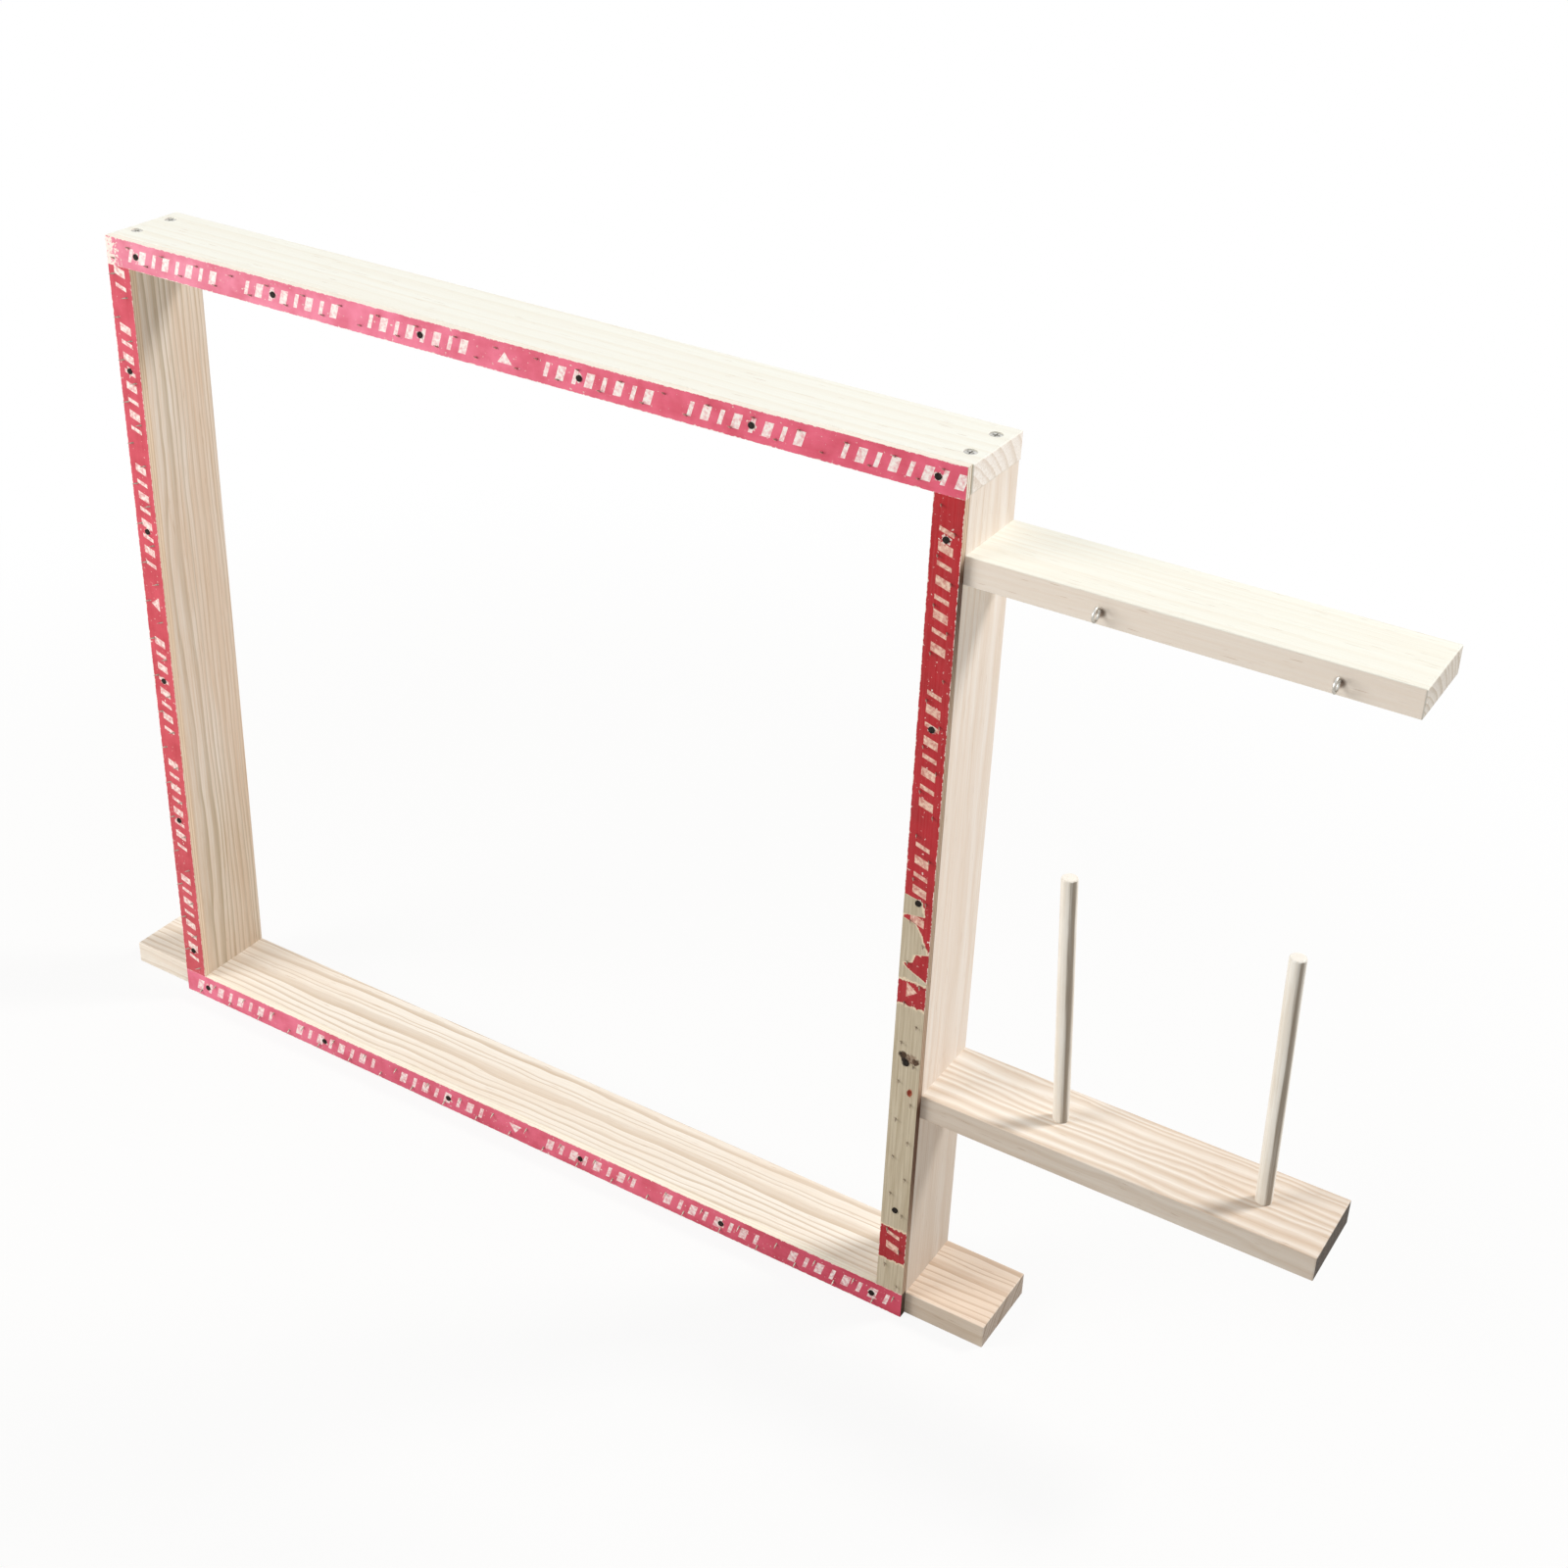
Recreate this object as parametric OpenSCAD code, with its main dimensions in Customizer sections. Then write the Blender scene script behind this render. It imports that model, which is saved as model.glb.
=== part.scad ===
// Tufting frame: a standing pine frame faced with carpet gripper strips, with a yarn stand at its side.
// Millimetres. X runs along the frame, the pinned face looks to -Y, Z is up.
// The origin is the middle of the base rail's underside.

/* [Timber] */
// Thickness of every planed board
timber_t = 20.5; // [16:0.5:28]
// Depth of every board from front to back
timber_d = 69; // [55:1:95]
// Radius of the sanded edges
edge_r = 1.2; // [0.5:0.1:2]

/* [Frame] */
// Clear width between the stiles
inner_w = 700; // [500:5:900]
// Length of each stile
stile_l = 665; // [560:5:900]
// How far each foot of the base rail stands out past its stile
foot_l = 67; // [30:1:120]
// How far the top rail stands proud of each stile
rail_lap = 1; // [0:0.5:3]

/* [Yarn stand] */
// Length of the upper arm, which carries the yarn eyes
yarn_arm_l = 300; // [290:5:420]
// Distance from the top rail's underside down to the top of the upper arm
yarn_arm_drop = 42.5; // [40:0.5:120]
// Length of the cone shelf
cone_shelf_l = 300; // [290:5:420]
// Height of the cone shelf's underside
cone_shelf_z = 190; // [120:1:260]
// Distance from the right stile to the inner peg and the eye above it
inner_peg_x = 95; // [70:1:130]
// Distance from the right stile to the outer peg and the eye above it
outer_peg_x = 249; // [200:1:270]

/* [Yarn pegs] */
// Diameter of the pegs
peg_d = 12; // [10:0.5:16]
// Height of a peg above the shelf, measured along the peg
peg_h = 202; // [120:1:240]
// Depth of the blind hole that holds a peg
peg_hole_deep = 14; // [8:0.5:15]
// How much the foot of a peg is sanded down in diameter
peg_foot_cut = 0.4; // [0.3:0.1:1]
// Height above the shelf at which a peg reaches its full thickness
peg_collar_h = 1; // [0.5:0.25:2]
// Rounding of a peg's top
peg_top_r = 1.5; // [0.5:0.25:2.5]
// Lean of the inner peg towards the frame, in degrees
inner_peg_lean = 4; // [0:0.5:6]
// Lean of the outer peg towards the frame, in degrees
outer_peg_lean = 1.5; // [0:0.5:6]

/* [Yarn eyes] */
// Thickness of the wire that an eye is bent from
eye_wire_d = 2; // [1.5:0.1:3]
// Inside diameter of an eye's ring
eye_ring_d = 7; // [6:0.5:12]
// Bare shank between the arm and the ring
eye_neck_l = 1.5; // [1:0.5:5]
// Length of shank inside the arm
eye_grip_l = 12; // [8:1:14]

/* [Gripper strips] */
// Width of a gripper strip
strip_w = 22.5; // [21:0.5:30]
// Thickness of a gripper strip
strip_t = 6; // [4:0.5:7]
// Distance between two pins of a row
pin_pitch = 35; // [20:1:50]
// Distance from a strip's end to its first pin
pin_first = 7; // [4:0.5:15]
// Distance of each row of pins from the middle of a strip
pin_row = 5.5; // [5:0.1:6.5]
// Thickness of a pin
pin_d = 1.3; // [1:0.1:1.6]
// Height of a pin's point above the strip
pin_h = 4; // [3:0.5:6]
// Wood between a pin's root and the back of the strip
pin_root_cover = 1; // [0.5:0.25:2]
// Lean of the pins away from the opening, in degrees
pin_lean = 30; // [10:5:35]

/* [Strip nails] */
// Distance between two nails of a strip
nail_pitch = 138; // [90:1:180]
// Distance from the start of the top strip to its first nail
top_nail_first = 31; // [12:1:60]
// Distance from the start of the right strip to its first nail
right_nail_first = 30; // [12:1:60]
// Distance from the start of the bottom strip to its first nail
bottom_nail_first = 26; // [12:1:60]
// Distance from the start of the left strip to its first nail
left_nail_first = 24; // [12:1:60]
// Thickness of a nail
nail_d = 2.2; // [1.6:0.1:2.6]
// Diameter of a nail's head
nail_head_d = 4.8; // [3.5:0.1:6]
// Height of a nail's head above the strip
nail_head_h = 0.7; // [0.4:0.1:1.2]
// Length of nail inside the timber
nail_grip_l = 11; // [8:0.5:12]

/* [Screws] */
// Length of a countersunk screw
screw_l = 60; // [45:5:65]
// Thickness of a screw's shank
screw_d = 4.5; // [3.5:0.5:5]
// Diameter of a screw's head
screw_head_d = 9.6; // [8:0.2:10.4]
// Depth of the heads below the wood
screw_sink = 0.5; // [0.2:0.1:1]
// Distance from a board's long edge to its screws
screw_edge = 17; // [16:0.5:20]

/* [Fits] */
// Clearance all round a shank, pin or nail in its hole
drive_fit = 0.05; // [0.02:0.01:0.1]
// Clearance all round a peg's foot in its hole
peg_fit = 0.05; // [0.02:0.01:0.1]

/* [Hidden] */

$fn = 48;
PINE = "#eddcc2";
DOWEL = "#e0d2bd";
PRINTED_PLY = "#c8324a";
ZINC = "#b9bab4";
STEEL = "#8d9096";
BLUED_IRON = "#2a2725";

// Outside of the frame, and the faces that the pieces share
outer_w = inner_w + 2 * timber_t;
front_y = -timber_d / 2;
stile_mid_x = (inner_w + timber_t) / 2;
rail_z = timber_t + stile_l;
frame_h = rail_z + timber_t;
stand_x = outer_w / 2;
yarn_arm_z = rail_z - yarn_arm_drop - timber_t;
shelf_top_z = cone_shelf_z + timber_t;

// The upright strips stand between the long ones
upright_strip_l = frame_h - 2 * strip_w;
strip_mid = strip_w / 2;

// A hole is cut this far past the face that it opens in
overcut = 1;

// Boards

module eased_rectangle(width, height, radius) {
    square([width - 2 * radius, height], center = true);
    square([width, height - 2 * radius], center = true);
    for (side_x = [-1, 1], side_y = [-1, 1])
        translate([side_x * (width / 2 - radius), side_y * (height / 2 - radius)])
            circle(radius);
}

// A board lies along +X with its underside on Z = 0; only the ends that show are sanded round
module board(length, sanded_start, sanded_end) {
    lead = sanded_start ? 0 : timber_t;
    tail = sanded_end ? 0 : timber_t;
    span = lead + length + tail;
    middle = (length + tail - lead) / 2;
    intersection() {
        rotate([90, 0, 90])
            linear_extrude(length)
                translate([0, timber_t / 2])
                    eased_rectangle(timber_d, timber_t, edge_r);
        translate([middle, 0, -overcut])
            linear_extrude(timber_t + 2 * overcut)
                eased_rectangle(span, timber_d, edge_r);
        translate([middle, timber_d / 2 + overcut, timber_t / 2])
            rotate([90, 0, 0])
                linear_extrude(timber_d + 2 * overcut)
                    eased_rectangle(span, timber_t, edge_r);
    }
}

// An upright board stands on Z = 0 with one wide face on X = 0 and its thickness towards -X
module upright_board(length) {
    rotate([0, -90, 0])
        board(length, false, false);
}

// Countersunk screws point to -Z, with the top of the head on Z = 0

screw_head_h = (screw_head_d - screw_d) / 2;
screw_tip_l = 1.5 * screw_d;
screw_tip_d = 0.2 * screw_d;
recess_l = 0.55 * screw_head_d;
recess_w = 0.11 * screw_head_d;
recess_deep = 0.6 * screw_head_h;

module countersunk_screw() {
    color(ZINC)
        difference() {
            union() {
                translate([0, 0, -screw_head_h])
                    cylinder(h = screw_head_h, d1 = screw_d, d2 = screw_head_d);
                translate([0, 0, -screw_l + screw_tip_l])
                    cylinder(h = screw_l - screw_tip_l - screw_head_h, d = screw_d);
                translate([0, 0, -screw_l])
                    cylinder(h = screw_tip_l, d1 = screw_tip_d, d2 = screw_d);
            }
            for (turn = [0, 90])
                rotate([0, 0, turn])
                    cube([recess_l, recess_w, 2 * recess_deep], center = true);
        }
}

module screw_hole() {
    head_hole_d = screw_head_d + 2 * drive_fit;
    shank_hole_d = screw_d + 2 * drive_fit;
    translate([0, 0, -screw_l - drive_fit])
        cylinder(h = screw_l, d = shank_hole_d);
    translate([0, 0, -screw_head_h])
        cylinder(h = screw_head_h, d1 = shank_hole_d, d2 = head_hole_d);
    cylinder(h = screw_sink + overcut, d = head_hole_d);
}

// Each joint has two screws, one near the front and one near the back
module screw_pair() {
    for (side = [-1, 1])
        translate([0, side * (timber_d / 2 - screw_edge), 0])
            children();
}

module at_top_rail_screws() {
    for (side = [-1, 1])
        translate([side * stile_mid_x, 0, frame_h - screw_sink])
            screw_pair()
                children();
}

module at_base_rail_screws() {
    for (side = [-1, 1])
        translate([side * stile_mid_x, 0, screw_sink])
            screw_pair()
                rotate([180, 0, 0])
                    children();
}

// Screws driven from the inside of the right stile into the end of an arm
module at_arm_screws(arm_z) {
    translate([inner_w / 2 + screw_sink, 0, arm_z + timber_t / 2])
        screw_pair()
            rotate([0, -90, 0])
                children();
}

// Gripper strips
// Each strip is drawn with its length along X, Y from the opening outwards, and its face up

function fitted_count(length, first, pitch, end_gap) = floor((length - first - end_gap) / pitch) + 1;

module on_top_strip() {
    translate([-outer_w / 2, front_y, frame_h - strip_w])
        rotate([90, 0, 0])
            children();
}

module on_right_strip() {
    translate([outer_w / 2 - strip_w, front_y, frame_h - strip_w])
        rotate([90, 90, 0])
            children();
}

module on_bottom_strip() {
    translate([outer_w / 2, front_y, strip_w])
        rotate([90, 180, 0])
            children();
}

module on_left_strip() {
    translate([-outer_w / 2 + strip_w, front_y, strip_w])
        rotate([90, 270, 0])
            children();
}

pin_root_l = (strip_t - pin_root_cover) / cos(pin_lean);
pin_proud_l = pin_h / cos(pin_lean);
pin_point_l = 2.5 * pin_d;
pin_point_d = 0.15 * pin_d;

// Two staggered rows; each child is moved to where a pin leaves the strip's face, and leans outwards
module at_pins(length) {
    for (row = [-1, 1]) {
        row_first = pin_first + (row + 1) * pin_pitch / 4;
        for (i = [0 : fitted_count(length, row_first, pin_pitch, pin_first / 2) - 1])
            translate([row_first + i * pin_pitch, strip_mid + row * pin_row, strip_t])
                rotate([-pin_lean, 0, 0])
                    children();
    }
}

module pins(length) {
    color(STEEL)
        at_pins(length) {
            translate([0, 0, -pin_root_l])
                cylinder(h = pin_root_l + pin_proud_l - pin_point_l, d = pin_d);
            translate([0, 0, pin_proud_l - pin_point_l])
                cylinder(h = pin_point_l, d1 = pin_d, d2 = pin_point_d);
        }
}

module pin_hole() {
    translate([0, 0, -pin_root_l - drive_fit])
        cylinder(h = pin_root_l + strip_t, d = pin_d + 2 * drive_fit);
}

nail_tip_l = 1.5 * nail_d;
nail_tip_d = 0.2 * nail_d;
nail_l = strip_t + nail_grip_l;

module at_nails(length, first) {
    for (i = [0 : fitted_count(length, first, nail_pitch, nail_head_d) - 1])
        translate([first + i * nail_pitch, strip_mid, strip_t])
            children();
}

module nails(length, first) {
    color(BLUED_IRON)
        at_nails(length, first) {
            cylinder(h = nail_head_h, d = nail_head_d);
            translate([0, 0, -nail_l + nail_tip_l])
                cylinder(h = nail_l - nail_tip_l, d = nail_d);
            translate([0, 0, -nail_l])
                cylinder(h = nail_tip_l, d1 = nail_tip_d, d2 = nail_d);
        }
}

module nail_hole() {
    translate([0, 0, -nail_l - drive_fit])
        cylinder(h = nail_l + drive_fit + overcut, d = nail_d + 2 * drive_fit);
}

module gripper_strip(length, nail_first) {
    color(PRINTED_PLY)
        difference() {
            cube([length, strip_w, strip_t]);
            at_pins(length)
                pin_hole();
            at_nails(length, nail_first)
                nail_hole();
        }
}

// Yarn pegs and eyes

module at_peg(peg_x, lean) {
    translate([stand_x + peg_x, 0, shelf_top_z])
        rotate([0, -lean, 0])
            children();
}

// The foot is sanded down a little and widens to the full peg just above the shelf
peg_foot_d = peg_d - peg_foot_cut;

module peg() {
    peg_r = peg_d / 2;
    color(DOWEL)
        rotate_extrude() {
            translate([0, -peg_hole_deep])
                square([peg_foot_d / 2, peg_hole_deep + peg_collar_h]);
            translate([0, peg_collar_h])
                square([peg_r, peg_h - peg_top_r - peg_collar_h]);
            translate([0, peg_collar_h])
                square([peg_r - peg_top_r, peg_h - peg_collar_h]);
            translate([peg_r - peg_top_r, peg_h - peg_top_r])
                circle(peg_top_r);
        }
}

module peg_hole() {
    translate([0, 0, -peg_hole_deep])
        cylinder(h = peg_hole_deep + timber_t, d = peg_foot_d + 2 * peg_fit);
}

eye_ring_mid_r = (eye_ring_d + eye_wire_d) / 2;
eye_stand = eye_neck_l + eye_ring_mid_r + eye_wire_d / 2;
eye_tip_l = 1.5 * eye_wire_d;
eye_tip_d = 0.2 * eye_wire_d;

// An eye is screwed into the middle of the arm's front, straight above its peg
module at_eye(peg_x) {
    translate([stand_x + peg_x, front_y, yarn_arm_z + timber_t / 2])
        rotate([-90, 0, 0])
            children();
}

module yarn_eye() {
    color(ZINC) {
        translate([0, 0, -eye_stand])
            rotate([0, 90, 0])
                rotate_extrude()
                    translate([eye_ring_mid_r, 0])
                        circle(d = eye_wire_d);
        translate([0, 0, -eye_stand + eye_ring_mid_r])
            cylinder(h = eye_stand - eye_ring_mid_r + eye_grip_l - eye_tip_l, d = eye_wire_d);
        translate([0, 0, eye_grip_l - eye_tip_l])
            cylinder(h = eye_tip_l, d1 = eye_wire_d, d2 = eye_tip_d);
    }
}

module eye_hole() {
    translate([0, 0, -overcut])
        cylinder(h = eye_grip_l + drive_fit + overcut, d = eye_wire_d + 2 * drive_fit);
}

// The pieces of the frame

module base_rail() {
    base_l = outer_w + 2 * foot_l;
    color(PINE)
        difference() {
            translate([-base_l / 2, 0, 0])
                board(base_l, true, true);
            at_base_rail_screws()
                screw_hole();
            on_bottom_strip()
                at_nails(outer_w, bottom_nail_first)
                    nail_hole();
        }
}

module top_rail() {
    top_l = outer_w + 2 * rail_lap;
    color(PINE)
        difference() {
            translate([-top_l / 2, 0, rail_z])
                board(top_l, true, true);
            at_top_rail_screws()
                screw_hole();
            on_top_strip()
                at_nails(outer_w, top_nail_first)
                    nail_hole();
        }
}

module left_stile() {
    color(PINE)
        difference() {
            translate([-inner_w / 2, 0, timber_t])
                upright_board(stile_l);
            at_top_rail_screws()
                screw_hole();
            at_base_rail_screws()
                screw_hole();
            on_left_strip()
                at_nails(upright_strip_l, left_nail_first)
                    nail_hole();
        }
}

module right_stile() {
    color(PINE)
        difference() {
            translate([outer_w / 2, 0, timber_t])
                upright_board(stile_l);
            at_top_rail_screws()
                screw_hole();
            at_base_rail_screws()
                screw_hole();
            at_arm_screws(yarn_arm_z)
                screw_hole();
            at_arm_screws(cone_shelf_z)
                screw_hole();
            on_right_strip()
                at_nails(upright_strip_l, right_nail_first)
                    nail_hole();
        }
}

module yarn_arm() {
    color(PINE)
        difference() {
            translate([stand_x, 0, yarn_arm_z])
                board(yarn_arm_l, false, true);
            at_arm_screws(yarn_arm_z)
                screw_hole();
            for (peg_x = [inner_peg_x, outer_peg_x])
                at_eye(peg_x)
                    eye_hole();
        }
}

module cone_shelf() {
    color(PINE)
        difference() {
            translate([stand_x, 0, cone_shelf_z])
                board(cone_shelf_l, false, true);
            at_arm_screws(cone_shelf_z)
                screw_hole();
            at_peg(inner_peg_x, inner_peg_lean)
                peg_hole();
            at_peg(outer_peg_x, outer_peg_lean)
                peg_hole();
        }
}

base_rail();
top_rail();
left_stile();
right_stile();
yarn_arm();
cone_shelf();

at_peg(inner_peg_x, inner_peg_lean) peg();  // inner_peg
at_peg(outer_peg_x, outer_peg_lean) peg();  // outer_peg
at_eye(inner_peg_x) yarn_eye();  // inner_yarn_eye
at_eye(outer_peg_x) yarn_eye();  // outer_yarn_eye

on_top_strip() gripper_strip(outer_w, top_nail_first);  // top_gripper_strip
on_right_strip() gripper_strip(upright_strip_l, right_nail_first);  // right_gripper_strip
on_bottom_strip() gripper_strip(outer_w, bottom_nail_first);  // bottom_gripper_strip
on_left_strip() gripper_strip(upright_strip_l, left_nail_first);  // left_gripper_strip

on_top_strip() pins(outer_w);  // top_strip_pins
on_right_strip() pins(upright_strip_l);  // right_strip_pins
on_bottom_strip() pins(outer_w);  // bottom_strip_pins
on_left_strip() pins(upright_strip_l);  // left_strip_pins

on_top_strip() nails(outer_w, top_nail_first);  // top_strip_nails
on_right_strip() nails(upright_strip_l, right_nail_first);  // right_strip_nails
on_bottom_strip() nails(outer_w, bottom_nail_first);  // bottom_strip_nails
on_left_strip() nails(upright_strip_l, left_nail_first);  // left_strip_nails

at_top_rail_screws() countersunk_screw();  // top_rail_screws
at_base_rail_screws() countersunk_screw();  // base_rail_screws
at_arm_screws(yarn_arm_z) countersunk_screw();  // yarn_arm_screws
at_arm_screws(cone_shelf_z) countersunk_screw();  // cone_shelf_screws
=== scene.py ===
import math
from functools import partial

import bpy
from mathutils import Euler, Matrix, Vector


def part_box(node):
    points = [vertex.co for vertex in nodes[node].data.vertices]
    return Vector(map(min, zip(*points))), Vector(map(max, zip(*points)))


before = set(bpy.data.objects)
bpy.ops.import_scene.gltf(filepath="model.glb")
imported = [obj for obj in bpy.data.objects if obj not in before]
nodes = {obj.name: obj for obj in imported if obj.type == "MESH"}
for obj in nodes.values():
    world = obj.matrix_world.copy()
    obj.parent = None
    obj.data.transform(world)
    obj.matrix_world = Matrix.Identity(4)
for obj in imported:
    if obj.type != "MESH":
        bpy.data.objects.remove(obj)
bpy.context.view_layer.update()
print("frame loaded with", len(nodes), "pieces")


# Camera

cameraSetup = {
    "position": (0.9318, -1.1972, 1.2545),  # metres, in the frame's own axes
    "turn": 29.856,  # degrees round the object, 0 looks along +Y
    "downTilt": 28.477,
    "roll": 2.687,
    "lens": 51.78,  # mm
    "sensorWidth": 36.0,
    "shift": (-0.0191, -0.0724),
    "clip": (0.05, 60.0),
}


def makeCamera(setup):
    turn, tilt, roll = (math.radians(setup[key]) for key in ("turn", "downTilt", "roll"))
    forward = Vector((-math.sin(turn) * math.cos(tilt), math.cos(turn) * math.cos(tilt),
                      -math.sin(tilt)))
    level = Vector((math.cos(turn), math.sin(turn), 0.0))
    upright = level.cross(forward)
    right = math.cos(roll) * level + math.sin(roll) * upright
    up = math.cos(roll) * upright - math.sin(roll) * level
    data = bpy.data.cameras.new("photoCamera")
    data.lens = setup["lens"]
    data.sensor_width = setup["sensorWidth"]
    data.shift_x, data.shift_y = setup["shift"]
    data.clip_start, data.clip_end = setup["clip"]
    camera = bpy.data.objects.new("photoCamera", data)
    axes = Matrix((right, up, -forward)).transposed().to_4x4()
    camera.matrix_world = Matrix.Translation(setup["position"]) @ axes
    bpy.context.scene.collection.objects.link(camera)
    bpy.context.scene.camera = camera


makeCamera(cameraSetup)
print("camera placed")


# Node helpers

def linear(hexColour):  # sRGB hex to the linear values that the shader takes
    parts = [int(hexColour[i:i + 2], 16) / 255 for i in (1, 3, 5)]
    parts = [p / 12.92 if p <= 0.04045 else ((p + 0.055) / 1.055) ** 2.4 for p in parts]
    return (*parts, 1.0)


# links are keyed by a socket's number or name: in Map Range, 1 to 4 are From Min, From Max,
# To Min and To Max; stops fill a ramp, whose own two stops come first
def addNode(tree, kind, links=None, stops=None, **settings):
    node = tree.nodes.new("ShaderNode" + kind)
    for name, value in settings.items():
        setattr(node, name, value)
    for key, value in (links or {}).items():
        if isinstance(key, int):
            socket = node.inputs[key]
        else:
            socket = next(s for s in node.inputs if s.name == key and s.enabled)
        if isinstance(value, bpy.types.Node):
            value = next(s for s in value.outputs if s.enabled)
        if isinstance(value, bpy.types.NodeSocket):
            tree.links.new(value, socket)
        else:
            socket.default_value = value
    for i, (place, value) in enumerate(stops or ()):
        stop = node.color_ramp.elements[i] if i < 2 else node.color_ramp.elements.new(place)
        stop.position = place
        stop.color = linear(value) if isinstance(value, str) else (value, value, value, 1.0)
    return node


def newMaterial(name):
    material = bpy.data.materials.new(name)
    material.use_nodes = True
    material.node_tree.nodes.clear()
    return material, partial(addNode, material.node_tree)


def finishMaterial(material, shader):
    addNode(material.node_tree, "OutputMaterial", {"Surface": shader})
    return material


# noise drawn out along the grain; waves is how fine it is, per mm, on each axis
def grainNoise(add, place, waves, links, **settings):
    stretched = add("VectorMath", {0: place, 1: waves}, operation="MULTIPLY")
    return add("TexNoise", {"Vector": stretched, "Scale": 1.0, **links}, **settings)


# how squarely a face looks one way, from 0 to 1; start and full are cosines, and both
# lets the opposite way count too
def facing(add, place, way, start, full, both=False):
    squareness = add("VectorMath", {0: place.outputs["Normal"], 1: way}, operation="DOT_PRODUCT")
    if both:
        squareness = add("Math", {0: squareness}, operation="ABSOLUTE")
    return add("MapRange", {0: squareness, 1: start, 2: full})


def dress(nodeName, material):
    slots = nodes[nodeName].data.materials
    slots.clear()
    slots.append(material)


# Pine boards
# Planed and lightly sanded pine: pale and satin, with soft yearly rings that run
# out along the faces as long bands, fine fibre streaks and short resin lines.
# heart is where the middle of the tree lay, in mm across and through the board; rise is
# where in a year the late wood begins and where it is dark.
# stainAndShade is a side that is darker: the way it faces, an axis, where on it the
# darkening starts and is full, in metres, and its tone; on the right stile it is painted
# shade below the shelf. eyeShadowSpots are the places, in metres, round which a painted
# shadow lies at the foot of each screwed-in eye. side darkens the front and back faces
# as painted shade, and the darkest sawn ends, on the shelf and the feet, are painted shade.

pineBoards = {
    "top_rail": {"heart": (-62, -58), "ringWidth": 8.0, "early": "#FAFCF5", "late": "#F5F3E8",
                 "end": "#FFFAF6", "endRing": "#ECE5DE", "side": "#F4F0EA", "drift": 0.6, "sway": 6,
                 "ripple": 1.5, "fade": 0.6, "rise": (0.5, 0.82), "streak": 0.15, "seed": 3.0},
    # painted shade: the feet's dark ends; the right foot's top beyond the stile is a little darker
    "base_rail": {"heart": (110, -62), "ringWidth": 6.0, "early": "#FBF6EE", "late": "#D6C5B1",
                  "end": "#B8ACA2", "endRing": "#C6B8A8", "side": "#D6D0CA", "drift": -0.7,
                  "sway": 12, "ripple": 3.5, "fade": 0.35, "rise": (0.6, 0.87), "streak": 0.45,
                  "seed": 11.0, "stainAndShade": ((0.0, 0.0, 1.0), "X", 0.352, 0.369, "#F7EDE6")},
    # the left stile's inner face darkens towards the bottom
    "left_stile": {"heart": (-30, -36), "ringWidth": 4.2, "early": "#EEE5DD", "late": "#C4B6A2",
                   "end": "#E2D2BC", "endRing": "#C9B79F", "side": "#F4EEE6", "drift": 0.6,
                   "sway": 8, "ripple": 1.5, "fade": 0.6, "rise": (0.5, 0.82), "streak": 0.9,
                   "seed": 23.0, "stainAndShade": ((1.0, 0.0, 0.0), "Z", 0.27, 0.13, "#F4F0E9")},
    # painted shade: the right stile's outer face is darker below the shelf
    "right_stile": {"heart": (42, -58), "ringWidth": 7.5, "early": "#F9F2EC", "late": "#EEE1D5",
                    "end": "#E2D2BC", "endRing": "#C9B79F", "side": "#F4EEE6", "drift": -0.9,
                    "sway": 14, "ripple": 2, "fade": 0.8, "rise": (0.3, 0.7), "streak": 0.45,
                    "seed": 31.0, "stainAndShade": ((1.0, 0.0, 0.0), "Z", 0.21, 0.19, "#E0DEDB")},
    "yarn_arm": {"heart": (-60, -52), "ringWidth": 6.0, "early": "#FAFCF4", "late": "#F6F4E9",
                 "end": "#E2DDD6", "endRing": "#E0D9CF", "side": "#F8EDEA", "drift": 0.4, "sway": 6,
                 "ripple": 2, "fade": 0.6, "rise": (0.5, 0.82), "streak": 0.2, "seed": 47.0,
                 # painted shadows round the feet of the two eyes
                 "eyeShadowSpots": ((0.4655, -0.0345, 0.6315), (0.6195, -0.0345, 0.6315))},
    # painted shade: the shelf's dark end; its top grows a little darker towards the right end
    "cone_shelf": {"heart": (-96, -30), "ringWidth": 7.2, "early": "#FDFAF5", "late": "#E0D0BE",
                   "end": "#3A2B1E", "endRing": "#B7A795", "side": "#DCD8D4", "drift": 0.5,
                   "sway": 14, "ripple": 6, "fade": 0.15, "rise": (0.15, 0.55), "streak": 0.4,
                   "seed": 59.0, "stainAndShade": ((0.0, 0.0, 1.0), "X", 0.44, 0.66, "#F4EFEB")},
}
pineLook = {  # the same for all six; waves are per mm, along, across and through the board
    "swayWaves": (0.005, 0.03, 0.03), "rippleWaves": (0.022, 0.06, 0.06),
    "fibreWaves": (0.011, 0.7, 0.7), "fibreTone": "#F1E6D8",
    "resinWaves": (0.05, 1.1, 1.1), "resinTone": "#B48F68", "resinLevel": 0.45,
    "patchWaves": (0.004, 0.03, 0.03), "patchTone": "#F4E9DE",
    "weatherWaves": 0.37, "weatherSpread": 2.4,  # per year, and in years
    "edgeRings": 0.45,  # how much of the rings shows on the narrow edges
    "handlingAndShade": (-0.42, 0.40),  # X in metres, from no painted shade on the front and back faces to the most, at the right
    "tubeTone": "#D2C4B2", "tubeLevel": 0.4,  # the fibres' open ends
    # the painted shadow round each eye's foot: outer and inner radius in metres, strength and tone
    "eyeShadowRim": 0.0048, "eyeShadowCore": 0.0018, "eyeShadowLevel": 0.9, "eyeShadowTone": "#6A5342",
    "roughness": (0.5, 0.68), "relief": 0.00025,  # relief in metres
}


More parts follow.
